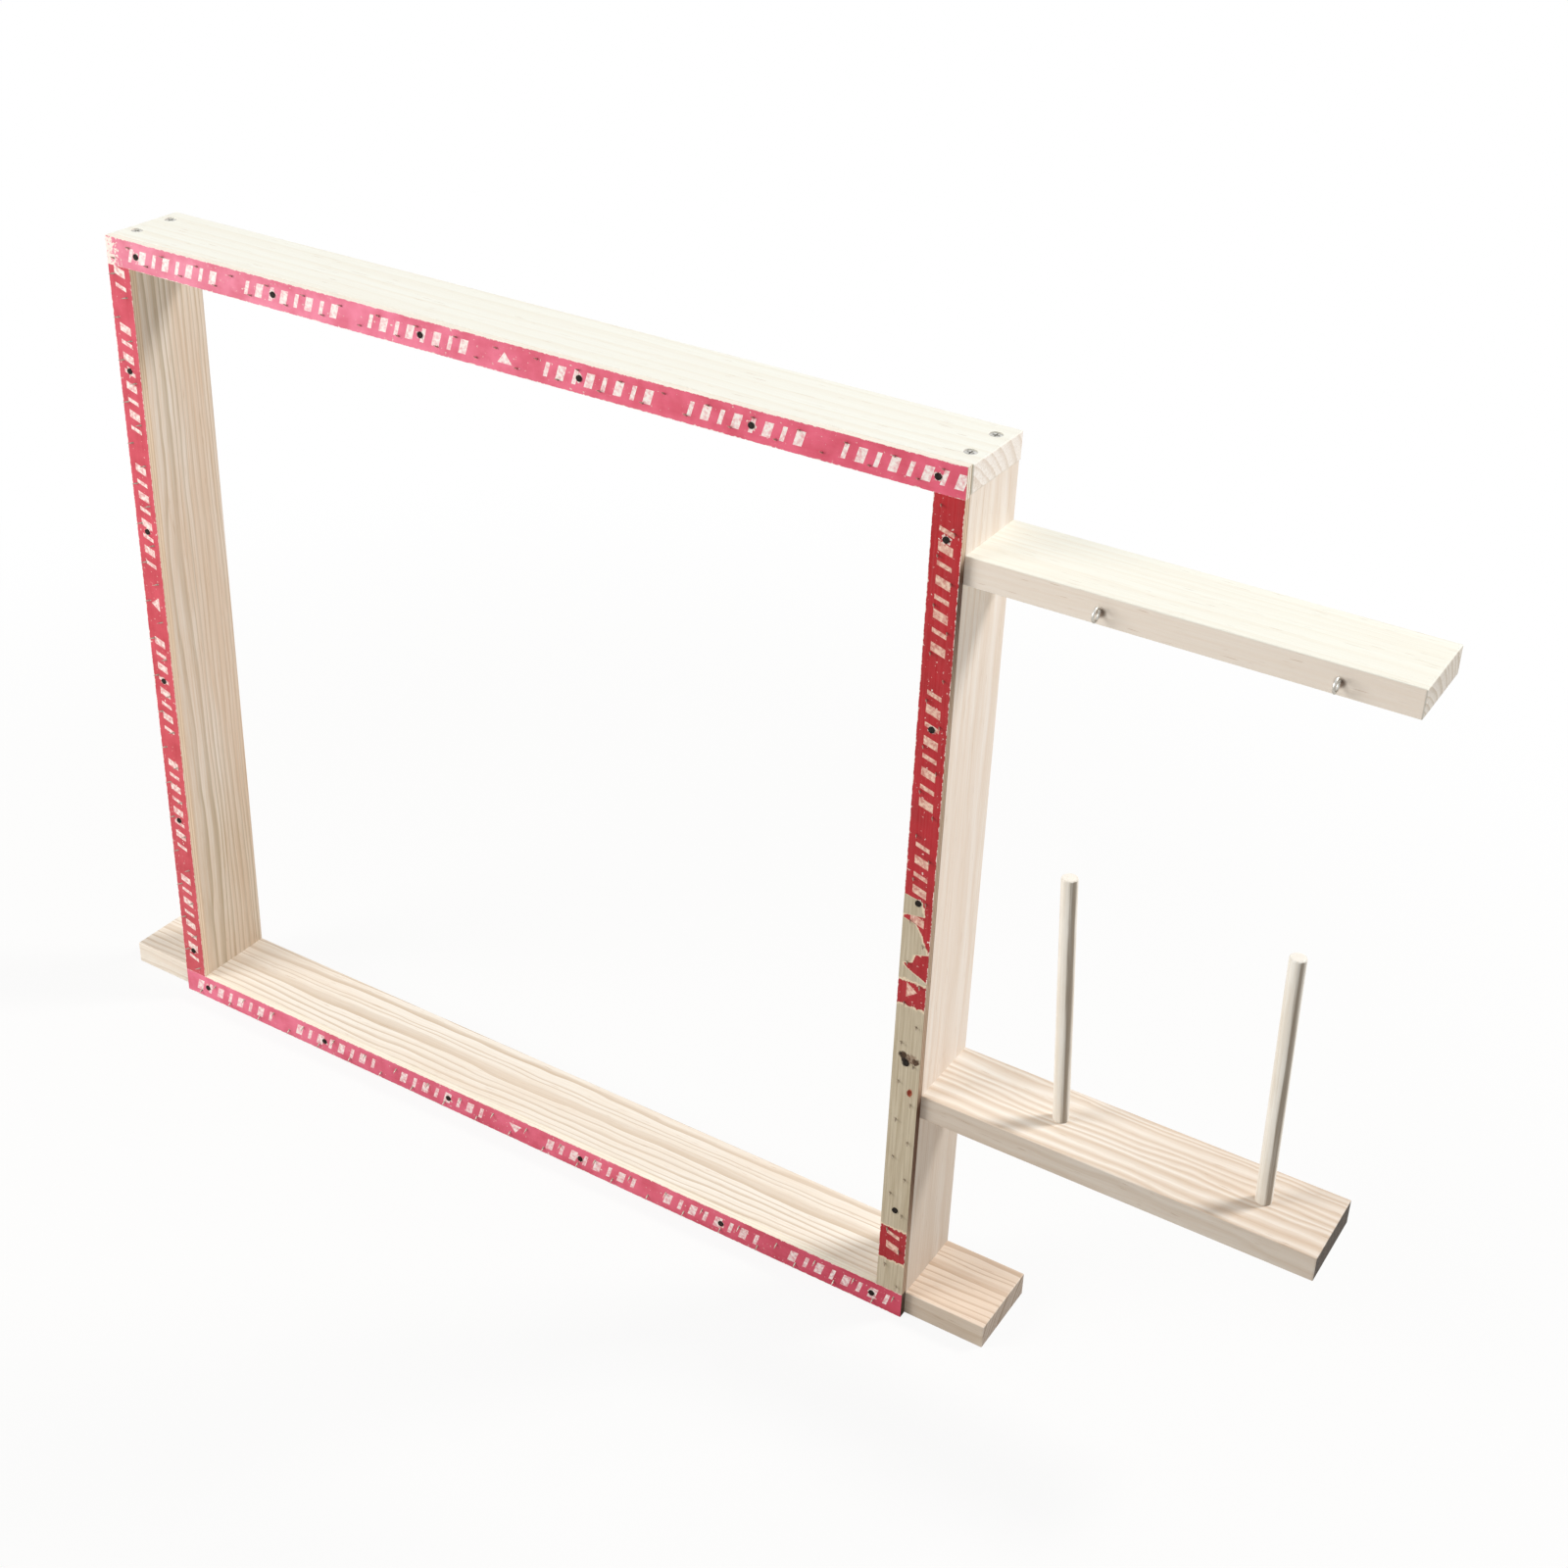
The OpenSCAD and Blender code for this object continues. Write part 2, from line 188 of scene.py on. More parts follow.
def planedPine(nodeName, look, wood):
    material, add = newMaterial("planedPine_" + nodeName)
    low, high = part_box(nodeName)
    upright = (high - low).z > (high - low).x
    turn = Euler((0.0, math.pi / 2 if upright else 0.0, math.radians(look["drift"])))
    shift = -(turn.to_matrix() @ ((low + high) * 500.0)) - Vector((0.0, *look["heart"]))
    place = add("TexCoord")
    # in mm, with the board's length along X and the heart on it
    grain = add("Mapping", {"Vector": place.outputs["Object"], "Scale": (1000.0,) * 3,
                            "Rotation": turn, "Location": shift})

    # the trunk wasn't a true cylinder: its rings sway over a forearm's length
    # and ripple over a thumb's
    bent = grain
    for waves, amount in ((wood["swayWaves"], look["sway"]), (wood["rippleWaves"], look["ripple"])):
        wander = grainNoise(add, grain, waves, {"W": look["seed"], "Detail": 1.0},
                            noise_dimensions="4D")
        bent = add("VectorMath", {0: wander.outputs["Color"], 1: (0.0, amount, amount), 2: bent},
                   operation="MULTIPLY_ADD")
    across = add("VectorMath", {0: bent, 1: (0.0, 1.0, 1.0)}, operation="MULTIPLY")
    radius = add("VectorMath", {0: across}, operation="LENGTH")
    years = add("Math", {0: radius, 1: look["ringWidth"]}, operation="DIVIDE")
    # good and bad years, so that the rings aren't of one width
    weather = add("TexNoise", {"W": years, "Scale": wood["weatherWaves"], "Detail": 1.0},
                  noise_dimensions="1D")
    years = add("Math", {0: weather, 1: wood["weatherSpread"], 2: years}, operation="MULTIPLY_ADD")
    season = add("Math", {0: years}, operation="FRACT")
    lateWood, dark = look["rise"]
    rings = add("ValToRGB", {0: season}, stops=[(0.0, 0.05), (1.0, 0.05), (lateWood, 0.16),
                                                (dark, 0.85), (dark + 0.1, 1.0)])

    # fibres are far finer than a millimetre; drawn about 1.4 mm wide so that they show
    fibre = grainNoise(add, bent, wood["fibreWaves"], {"Detail": 4.0, "Roughness": 0.62})
    streak = add("MapRange", {0: fibre, 1: 0.36, 2: 0.66})
    resin = grainNoise(add, bent, wood["resinWaves"], {"Detail": 1.0})
    resin = add("MapRange", {0: resin, 1: 0.70, 2: 0.78})
    patch = grainNoise(add, grain, wood["patchWaves"], {"Detail": 2.0})
    patch = add("MapRange", {0: patch, 1: 0.35, 2: 0.65})

    # rings come and go along the board, because the plane cut them at a changing angle,
    # and are fainter on the narrow edges
    edgeways = facing(add, place, (0.0, 1.0, 0.0), 0.6, 0.95, both=True)
    strength = add("MapRange", {0: patch, 3: 1.0, 4: 1.0 - look["fade"]})
    lines = add("Math", {0: rings, 1: strength}, operation="MULTIPLY")
    strength = add("MapRange", {0: edgeways, 3: 1.0, 4: wood["edgeRings"]})
    lines = add("Math", {0: lines, 1: strength}, operation="MULTIPLY")
    tone = add("Mix", {"Factor": lines, "A": linear(look["early"]), "B": linear(look["late"])},
               data_type="RGBA")
    shade = add("Math", {0: streak, 1: look["streak"]}, operation="MULTIPLY")
    tone = add("Mix", {"Factor": shade, "A": tone, "B": linear(wood["fibreTone"])},
               data_type="RGBA", blend_type="MULTIPLY")
    shade = add("Math", {0: patch, 1: look["streak"]}, operation="MULTIPLY")
    tone = add("Mix", {"Factor": shade, "A": tone, "B": linear(wood["patchTone"])},
               data_type="RGBA", blend_type="MULTIPLY")
    shade = add("Math", {0: resin, 1: wood["resinLevel"]}, operation="MULTIPLY")
    tone = add("Mix", {"Factor": shade, "A": tone, "B": linear(wood["resinTone"])},
               data_type="RGBA")

    axes = add("SeparateXYZ", {0: place.outputs["Object"]})
    # painted shade: the front and back faces take the side tone, the more the further right
    unshaded, mostShaded = wood["handlingAndShade"]
    handlingAndShade = add("MapRange", {0: axes.outputs["X"], 1: unshaded, 2: mostShaded})
    edgeways = add("Math", {0: edgeways, 1: handlingAndShade}, operation="MULTIPLY")
    tone = add("Mix", {"Factor": edgeways, "A": tone, "B": linear(look["side"])}, data_type="RGBA",
               blend_type="MULTIPLY")

    # painted shade below the shelf on the right stile's outer face; on the other boards this
    # darkens a part of one side
    if "stainAndShade" in look:
        way, axis, start, full, stainAndShadeTone = look["stainAndShade"]
        stainAndShadeMask = facing(add, place, way, 0.5, 0.8)
        reach = add("MapRange", {0: axes.outputs[axis], 1: start, 2: full},
                    interpolation_type="SMOOTHSTEP")
        stainAndShadeMask = add("Math", {0: stainAndShadeMask, 1: reach}, operation="MULTIPLY")
        tone = add("Mix", {"Factor": stainAndShadeMask, "A": tone, "B": linear(stainAndShadeTone)}, data_type="RGBA",
                   blend_type="MULTIPLY")

    # a painted shadow round the foot of each screwed-in eye
    for middle in look.get("eyeShadowSpots", ()):
        eyeShadow = add("VectorMath", {0: place.outputs["Object"], 1: middle}, operation="DISTANCE")
        eyeShadow = add("MapRange", {0: eyeShadow, 1: wood["eyeShadowRim"], 2: wood["eyeShadowCore"],
                                  4: wood["eyeShadowLevel"]}, interpolation_type="SMOOTHSTEP")
        tone = add("Mix", {"Factor": eyeShadow, "A": tone, "B": linear(wood["eyeShadowTone"])},
                   data_type="RGBA")

    # sawn end: the fibres stand on end and drink the light, and the rings are stronger; the darkest
    # ends, on the shelf and the feet, are painted shade
    lengthways = (0.0, 0.0, 1.0) if upright else (1.0, 0.0, 0.0)
    endways = facing(add, place, lengthways, 0.75, 0.95, both=True)
    endTone = add("Mix", {"Factor": rings, "A": linear(look["end"]), "B": linear(look["endRing"])},
                  data_type="RGBA", blend_type="MULTIPLY")
    tubes = add("TexNoise", {"Vector": bent, "Scale": 0.9, "Detail": 2.0})
    tubes = add("MapRange", {0: tubes, 1: 0.42, 2: 0.7, 4: wood["tubeLevel"]})
    endTone = add("Mix", {"Factor": tubes, "A": endTone, "B": linear(wood["tubeTone"])},
                  data_type="RGBA", blend_type="MULTIPLY")
    tone = add("Mix", {"Factor": endways, "A": tone, "B": endTone}, data_type="RGBA")

    height = add("Math", {0: rings, 1: 0.5, 2: fibre}, operation="MULTIPLY_ADD")
    relief = add("Bump", {"Height": height, "Strength": 0.5, "Distance": wood["relief"]})
    smooth, dull = wood["roughness"]
    gloss = add("MapRange", {0: streak, 3: smooth, 4: dull})
    shader = add("BsdfPrincipled", {"Base Color": tone, "Roughness": gloss, "Normal": relief,
                                    "IOR": 1.5})
    return finishMaterial(material, shader)


for nodeName, look in pineBoards.items():
    dress(nodeName, planedPine(nodeName, look, pineLook))
print("pine boards dressed")


# Yarn pegs
# Machine-rounded hardwood dowel: smoother and greyer than the boards, with thin
# straight streaks and a dull sawn top.

dowelLook = {
    "pale": "#FBF9F3", "dark": "#E8E1D5", "streakWidth": 1.6,  # mm
    "handledTone": "#E4D5C2", "handledLevel": 0.2,
    # painted shade along one side: the way it faces, its tone and strength
    "shadedSide": (0.79, -0.62, 0.0), "pegShadeTone": "#988D81", "pegShadeLevel": 0.85,
    "end": "#F7F3EC", "poreTone": "#DCD4C8", "poreLevel": 0.5,
    "roughness": (0.42, 0.58), "relief": 0.00015,  # relief in metres
}
pegLean = {"inner_peg": 4.0, "outer_peg": 1.5}  # degrees


def roundedDowel(nodeName, leanAngle, look):
    material, add = newMaterial("roundedDowel_" + nodeName)
    place = add("TexCoord")
    grain = add("Mapping", {"Vector": place.outputs["Object"], "Scale": (1000.0,) * 3,
                            "Rotation": (0.0, math.radians(leanAngle), 0.0)})
    fine = 1.0 / look["streakWidth"]
    fibre = grainNoise(add, grain, (fine, fine, 0.012), {"Detail": 4.0, "Roughness": 0.65})
    streak = add("MapRange", {0: fibre, 1: 0.35, 2: 0.68})
    tone = add("Mix", {"Factor": streak, "A": linear(look["pale"]), "B": linear(look["dark"])},
               data_type="RGBA")
    handlingAndShade = add("TexNoise", {"Vector": grain, "Scale": 0.03, "Detail": 2.0})
    handlingAndShade = add("MapRange", {0: handlingAndShade, 1: 0.4, 2: 0.7, 4: look["handledLevel"]})
    tone = add("Mix", {"Factor": handlingAndShade, "A": tone, "B": linear(look["handledTone"])},
               data_type="RGBA", blend_type="MULTIPLY")
    # painted shade: a darker streak runs up one side of each peg
    heart = add("VectorMath", {0: place.outputs["Normal"], 1: look["shadedSide"]},
                operation="DOT_PRODUCT")
    heart = add("Math", {0: fibre, 1: 0.3, 2: heart}, operation="MULTIPLY_ADD")
    heart = add("MapRange", {0: heart, 1: 0.97, 2: 1.15, 4: look["pegShadeLevel"]},
                interpolation_type="SMOOTHSTEP")
    tone = add("Mix", {"Factor": heart, "A": tone, "B": linear(look["pegShadeTone"])},
               data_type="RGBA", blend_type="MULTIPLY")
    endways = facing(add, place, (0.0, 0.0, 1.0), 0.8, 0.97)
    pores = add("TexNoise", {"Vector": grain, "Scale": 1.3, "Detail": 2.0})
    pores = add("MapRange", {0: pores, 1: 0.45, 2: 0.7, 4: look["poreLevel"]})
    sawn = add("Mix", {"Factor": pores, "A": linear(look["end"]), "B": linear(look["poreTone"])},
               data_type="RGBA")
    tone = add("Mix", {"Factor": endways, "A": tone, "B": sawn}, data_type="RGBA")
    relief = add("Bump", {"Height": fibre, "Strength": 0.4, "Distance": look["relief"]})
    smooth, dull = look["roughness"]
    gloss = add("MapRange", {0: streak, 3: smooth, 4: dull})
    shader = add("BsdfPrincipled", {"Base Color": tone, "Roughness": gloss, "Normal": relief,
                                    "IOR": 1.5})
    return finishMaterial(material, shader)


for nodeName, leanAngle in pegLean.items():
    dress(nodeName, roundedDowel(nodeName, leanAngle, dowelLook))
print("yarn pegs dressed")


# Gripper strips
# Thin plywood with a printed face: matt red ink that lets the veneer's grain
# through, white blocks printed in rows, chips round the nails, bare plies at the
# sides. The ink of the right strip is torn off with its veneer below the middle.
# along says which way a strip's length runs and where it starts, across where its
# middle lies, outwards; both in mm. inkAndSheen has four tints, spread from the strip's
# start to its end; the top, bottom and left strips are paler and pinker than the right one,
# the top and bottom ones the more towards the left, as painted sheen over the red ink.
# endWear is how far the ink has gone at its start.

stripLooks = {
    "top_gripper_strip": {
        "along": ("X", 1, 370.5), "across": ("Z", 1, -694.75), "length": 741, "arrow": 381.5,
        "firstNail": 31, "inkAndSheen": ("#EE90AA", "#F487A6", "#EE6B88", "#EE6684"), "marks": "#FFF8F4",
        "worn": 0.15, "endWear": 0.3, "side": "#FFFDF6", "sideDark": "#FCF6EA", "sawn": "#FBF6EE",
        "torn": False},
    "right_gripper_strip": {
        "along": ("Z", -1, 683.5), "across": ("X", 1, -359.25), "length": 661, "arrow": 380.5,
        "firstNail": 30, "inkAndSheen": ("#BA1020", "#BA1424", "#B01C28", "#AC1C28"), "marks": "#F4D2BE",
        "worn": 0.3, "endWear": 0.0, "side": "#E8D0BA", "sideDark": "#C4AA90", "sawn": "#E0CDB4",
        "torn": True},
    "bottom_gripper_strip": {
        "along": ("X", -1, 370.5), "across": ("Z", -1, 11.25), "length": 741, "arrow": 369.0,
        "firstNail": 26, "inkAndSheen": ("#D14A66", "#EC6F8A", "#E26A87", "#F484A2"), "marks": "#FFF4F2",
        # painted shade: the bottom strip's dark sawn end beside the foot
        "worn": 0.3, "endWear": 0.0, "side": "#FFFBF0", "sideDark": "#FAF2E2", "sawn": "#4E3C30",
        "torn": False},
    "left_gripper_strip": {
        "along": ("Z", 1, -22.5), "across": ("X", -1, -359.25), "length": 661, "arrow": 372.5,
        "firstNail": 24, "inkAndSheen": ("#CF525F", "#D44E5C", "#D84F62", "#D75368"), "marks": "#FFF0EA",
        "worn": 0.3, "endWear": 0.0, "side": "#F0DCC6", "sideDark": "#DEC6AC", "sawn": "#E0CDB4",
        "torn": False},
}
printLook = {  # in mm; front and back are where the strips' two faces lie, on Y
    "repeat": 392, "arrowZone": 60, "groupLength": 118, "printedLength": 96, "blockPitch": 12,
    "blockHalf": 5.4, "thinHalf": 1.7, "wideHalf": 3.3, "lean": 0.3,
    "arrowHalf": 6.35, "arrowHeight": 8.6, "nailPitch": 138, "front": -40.5, "back": -34.5,
    "plyPitch": 2.4, "endWearReach": (17.0, 1.0),
    "veneer": "#CFC4AE", "veneerDark": "#B4A68C", "chipTone": "#FAE8E0",
    "rubbedInk": "#E4B4BC", "rubbedLevel": 0.7, "thinInk": "#EFA9AC", "thinLevel": 0.06,
    "sideDust": "#E8DCCC", "dustLevel": 0.5, "sawnPly": "#CDBDA6",
    "roughness": (0.6, 0.85), "relief": 0.0002,  # relief in metres
}
tornLook = {  # the right strip: mm along it from its start, and across from its middle
    "reach": (290.0, 400.0), "halfWidth": 14.0,
    "rim": ((290, -14), (400, 14), (301, -14), (304, 3), (316, 6), (318, -9), (321, -11), (324, 0),
            (330, 4), (346, 11), (349, 1), (356, -1), (359, -8), (362, -5), (368, 8), (371, 14)),
    "patches": ((377.0, 397.0), (604.0, 635.0)),  # where the red is whole again, from and to
    "splinter": "#EBD9BE",
    "spots": (  # middle, half size and two tones: a burst nail hole in four parts, a speck of rust
        ((439.6, 2.6), (5.2, 9.8), ("#6A5242", "#A08C78")),
        ((437.8, -3.2), (3.9, 3.9), ("#1A110A", "#4A3626")),
        ((443.0, -1.2), (4.4, 3.8), ("#0C0805", "#2E2118")),
        ((440.3, 7.4), (3.6, 3.4), ("#2E2016", "#5E4836")),
        ((469.5, 4.2), (4.2, 2.8), ("#7A2814", "#A4553A"))),
    # painted shade on the strip's side, by the arm and the shelf
    "stripSideShadeTone": "#6E5240",
    "stripSideShade": (  # share of the strip's length, and how dark its side is there
        (0.055, 0.0), (1.0, 0.5), (0.08, 1.0), (0.12, 1.0), (0.2, 0.45), (0.7, 0.42), (0.73, 1.0),
        (0.82, 0.95), (0.9, 0.62)),
}


def printedPly(nodeName, look, prints, torn):
    material, add = newMaterial("printedPly_" + nodeName)
    place = add("TexCoord")
    axes = add("SeparateXYZ", {0: place.outputs["Object"]})
    axis, sign, start = look["along"]
    along = add("Math", {0: axes.outputs[axis], 1: 1000.0 * sign, 2: start},
                operation="MULTIPLY_ADD")
    axis, sign, start = look["across"]
    across = add("Math", {0: axes.outputs[axis], 1: 1000.0 * sign, 2: start},
                 operation="MULTIPLY_ADD")
    depth = add("Math", {0: axes.outputs["Y"], 1: 1000.0}, operation="MULTIPLY")
    flat = add("CombineXYZ", {0: along, 1: across, 2: depth})

    # veneer: straight fibres along the strip
    fibre = grainNoise(add, flat, (0.02, 0.8, 0.8), {"Detail": 4.0, "Roughness": 0.65})
    streak = add("MapRange", {0: fibre, 1: 0.36, 2: 0.66})
    bare = add("Mix", {"Factor": streak, "A": linear(prints["veneer"]),
                       "B": linear(prints["veneerDark"])}, data_type="RGBA")

    # ink: its tint drifts along the strip, with painted sheen over it on the top, bottom and left
    # strips, and it lies thinner on the hard fibres
    run = add("Math", {0: along, 1: look["length"]}, operation="DIVIDE")
    inkAndSheenTints = look["inkAndSheen"]
    inkAndSheen = add("ValToRGB", {0: run}, stops=[(0.06, inkAndSheenTints[0]), (0.94, inkAndSheenTints[3]), (0.33, inkAndSheenTints[1]),
                                           (0.66, inkAndSheenTints[2])])
    mottle = add("TexNoise", {"Vector": flat, "Scale": 0.06, "Detail": 3.0})
    mottle = add("MapRange", {0: mottle, 1: 0.38, 2: 0.66, 4: prints["rubbedLevel"]})
    inkAndSheen = add("Mix", {"Factor": mottle, "A": inkAndSheen, "B": linear(prints["rubbedInk"])},
              data_type="RGBA", blend_type="MULTIPLY")
    thin = add("Math", {0: streak, 1: prints["thinLevel"]}, operation="MULTIPLY")
    inkAndSheen = add("Mix", {"Factor": thin, "A": inkAndSheen, "B": linear(prints["thinInk"])}, data_type="RGBA")

    # white slanted blocks, wide and thin in turn, in three rows of eight between two arrows
    shift = prints["arrowZone"] / 2 + 2 * prints["repeat"] - look["arrow"]
    step = add("Math", {0: along, 1: shift}, operation="ADD")
    step = add("Math", {0: step, 1: prints["repeat"]}, operation="MODULO")
    inRow = add("Math", {0: step, 1: prints["arrowZone"]}, operation="SUBTRACT")
    started = add("Math", {0: inRow, 1: 0.0}, operation="GREATER_THAN")
    inRow = add("Math", {0: inRow, 1: prints["groupLength"]}, operation="MODULO")
    printed = add("Math", {0: inRow, 1: prints["printedLength"]}, operation="LESS_THAN")
    block = add("Math", {0: inRow, 1: prints["blockPitch"]}, operation="DIVIDE")
    index = add("Math", {0: block}, operation="FLOOR")
    odd = add("Math", {0: index, 1: 2.0}, operation="MODULO")
    half = add("MapRange", {0: odd, 3: prints["thinHalf"], 4: prints["wideHalf"]})
    offset = add("Math", {0: block}, operation="FRACT")
    offset = add("Math", {0: offset, 1: prints["blockPitch"], 2: -prints["blockPitch"] / 2},
                 operation="MULTIPLY_ADD")
    offset = add("Math", {0: across, 1: -prints["lean"], 2: offset}, operation="MULTIPLY_ADD")
    offset = add("Math", {0: offset}, operation="ABSOLUTE")
    narrow = add("Math", {0: offset, 1: half}, operation="LESS_THAN")
    up = add("Math", {0: across}, operation="ABSOLUTE")
    low = add("Math", {0: up, 1: prints["blockHalf"]}, operation="LESS_THAN")
    blocks = add("Math", {0: started, 1: printed}, operation="MULTIPLY")
    blocks = add("Math", {0: blocks, 1: narrow}, operation="MULTIPLY")
    blocks = add("Math", {0: blocks, 1: low}, operation="MULTIPLY")

    # one plain arrowhead that points outwards, away from the opening
    side = add("Math", {0: step, 1: prints["arrowZone"] / 2}, operation="SUBTRACT")
    side = add("Math", {0: side}, operation="ABSOLUTE")
    slope = add("MapRange", {0: across, 1: -prints["arrowHeight"] / 2, 2: prints["arrowHeight"] / 2,
                             3: prints["arrowHalf"], 4: 0.0})
    inside = add("Math", {0: side, 1: slope}, operation="LESS_THAN")
    tall = add("Math", {0: up, 1: prints["arrowHeight"] / 2}, operation="LESS_THAN")
    arrow = add("Math", {0: inside, 1: tall}, operation="MULTIPLY")
    marks = add("Math", {0: blocks, 1: arrow}, operation="MAXIMUM")
    rub = add("TexNoise", {"Vector": flat, "Scale": 0.35, "Detail": 3.0, "Roughness": 0.6})
    rub = add("MapRange", {0: rub, 1: 0.75 - 0.35 * look["worn"], 2: 0.45 - 0.2 * look["worn"],
                           3: 0.35})
    marks = add("Math", {0: marks, 1: rub}, operation="MULTIPLY")
    face = add("Mix", {"Factor": marks, "A": inkAndSheen, "B": linear(look["marks"])}, data_type="RGBA")

    # ink chipped off up to about 6 mm round each nail, where the hammer fell, and here and
    # there up to 1 mm in from the sides and at the strip's start
    toNail = add("Math", {0: along, 1: prints["nailPitch"] * 1.5 - look["firstNail"]},
                 operation="ADD")
    toNail = add("Math", {0: toNail, 1: prints["nailPitch"]}, operation="MODULO")
    toNail = add("Math", {0: toNail, 1: prints["nailPitch"] / 2}, operation="SUBTRACT")
    reach = add("CombineXYZ", {0: toNail, 1: across})
    reach = add("VectorMath", {0: reach}, operation="LENGTH")
    rough = add("TexNoise", {"Vector": flat, "Scale": 0.3, "Detail": 3.0, "Roughness": 0.7})
    reach = add("Math", {0: rough, 1: -12.0, 2: reach}, operation="MULTIPLY_ADD")
    chips = add("MapRange", {0: reach, 1: -3.0, 2: -3.8})
    edge = add("Math", {0: rough, 1: 3.4, 2: up}, operation="MULTIPLY_ADD")
    edge = add("MapRange", {0: edge, 1: 12.6, 2: 12.9})
    lost = add("Math", {0: chips, 1: edge}, operation="MAXIMUM")
    sound, bareEnd = prints["endWearReach"]
    corner = add("MapRange", {0: along, 1: sound, 2: bareEnd, 4: look["endWear"]})
    corner = add("Math", {0: corner, 1: rough}, operation="ADD")
    corner = add("MapRange", {0: corner, 1: 0.66, 2: 0.7})
    lost = add("Math", {0: lost, 1: corner}, operation="MAXIMUM")
    face = add("Mix", {"Factor": lost, "A": face, "B": linear(prints["chipTone"])},
               data_type="RGBA")

    # the veneer is torn off in slanting tongues, and below them only one red patch is left
    if look["torn"]:
        first, last = torn["reach"]
        half = torn["halfWidth"]
        where = add("MapRange", {0: along, 1: first, 2: last})
        span = last - first
        stops = [((at - first) / span, (out + half) / (2 * half)) for at, out in torn["rim"]]
        rim = add("ValToRGB", {0: where}, stops=stops)
        # the noise of 4 mm moves the rim by 2 mm on the whole
        rim = add("MapRange", {0: rim, 3: 2.0 - half, 4: 2.0 + half})
        ragged = add("Math", {0: rough, 1: 4.0, 2: across}, operation="MULTIPLY_ADD")
        kept = add("Math", {0: ragged, 1: rim}, operation="SUBTRACT")
        jagged = add("Math", {0: rough, 1: 7.0, 2: along}, operation="MULTIPLY_ADD")
        for top, bottom in torn["patches"]:
            above = add("Math", {0: jagged, 1: top}, operation="SUBTRACT")
            below = add("Math", {0: bottom, 1: jagged}, operation="SUBTRACT")
            patch = add("Math", {0: above, 1: below}, operation="MINIMUM")
            kept = add("Math", {0: kept, 1: patch}, operation="MAXIMUM")
        ripped = add("MapRange", {0: kept, 1: 0.3, 2: -0.3})
        lip = add("MapRange", {0: kept, 1: -2.2, 2: -0.8})
        under = add("Mix", {"Factor": lip, "A": bare, "B": linear(torn["splinter"])},
                    data_type="RGBA")
        face = add("Mix", {"Factor": ripped, "A": face, "B": under}, data_type="RGBA")

        deep = add("MapRange", {0: rub, 1: 0.55, 2: 0.85})
        for middle, size, tones in torn["spots"]:
            spot = add("VectorMath", {0: flat, 1: (*middle, prints["front"])}, operation="SUBTRACT")
            spot = add("VectorMath", {0: spot, 1: (*size, 40.0)}, operation="DIVIDE")
            spot = add("VectorMath", {0: spot}, operation="LENGTH")
            spot = add("Math", {0: rough, 1: 1.1, 2: spot}, operation="MULTIPLY_ADD")
            stainAndShade = add("MapRange", {0: spot, 1: 1.5, 2: 1.2})
            stainAndShadeTone = add("Mix", {"Factor": deep, "A": linear(tones[0]), "B": linear(tones[1])},
                            data_type="RGBA")
            face = add("Mix", {"Factor": stainAndShade, "A": face, "B": stainAndShadeTone}, data_type="RGBA")
    else:
        ripped = add("Math", {0: lost, 1: 0.3}, operation="MULTIPLY")

    # sides: three cross plies show as darker lines between paler ones
    ply = add("Math", {0: depth, 1: -prints["back"]}, operation="ADD")
    ply = add("Math", {0: ply, 1: prints["plyPitch"]}, operation="DIVIDE")
    ply = add("Math", {0: ply}, operation="FRACT")
    ply = add("MapRange", {0: ply, 1: 0.42, 2: 0.58})
    sides = add("Mix", {"Factor": ply, "A": linear(look["side"]), "B": linear(look["sideDark"])},
                data_type="RGBA")
    faint = add("Math", {0: streak, 1: prints["dustLevel"]}, operation="MULTIPLY")
    sides = add("Mix", {"Factor": faint, "A": sides, "B": linear(prints["sideDust"])},
                data_type="RGBA", blend_type="MULTIPLY")
    # painted shade: the right strip's side is darker where the arm and the shelf meet the stile,
    # and somewhat darker all along
    if look["torn"]:
        stripSideShade = add("ValToRGB", {0: run}, stops=torn["stripSideShade"])
        sides = add("Mix", {"Factor": stripSideShade, "A": sides, "B": linear(torn["stripSideShadeTone"])},
                    data_type="RGBA", blend_type="MULTIPLY")
    lengthways = (1.0, 0.0, 0.0) if look["along"][0] == "X" else (0.0, 0.0, 1.0)
    sawn = facing(add, place, lengthways, 0.7, 0.9, both=True)
    sawnTone = add("Mix", {"Factor": ply, "A": linear(look["sawn"]),
                           "B": linear(prints["sawnPly"])}, data_type="RGBA", blend_type="MULTIPLY")
    sides = add("Mix", {"Factor": sawn, "A": sides, "B": sawnTone}, data_type="RGBA")
    front = facing(add, place, (0.0, -1.0, 0.0), 0.5, 0.8)
    tone = add("Mix", {"Factor": front, "A": sides, "B": face}, data_type="RGBA")

    height = add("Math", {0: ripped, 1: -3.0, 2: fibre}, operation="MULTIPLY_ADD")
    relief = add("Bump", {"Height": height, "Strength": 0.6, "Distance": prints["relief"]})
    smooth, dull = prints["roughness"]
    gloss = add("MapRange", {0: ripped, 3: smooth, 4: dull})
    shader = add("BsdfPrincipled", {"Base Color": tone, "Roughness": gloss, "Normal": relief,
                                    "IOR": 1.45})
    return finishMaterial(material, shader)


for nodeName, look in stripLooks.items():
    dress(nodeName, printedPly(nodeName, look, printLook, tornLook))
print("gripper strips dressed")


# Pins, nails, screws and eyes
# zincPlate: wire and screws with a thin blue-grey zinc coat, cloudy and half bright.
# drawnSteel: bare pins cut from drawn wire, darker, with a first bloom of rust.
# bluedIron: nails blackened by heat, almost black.

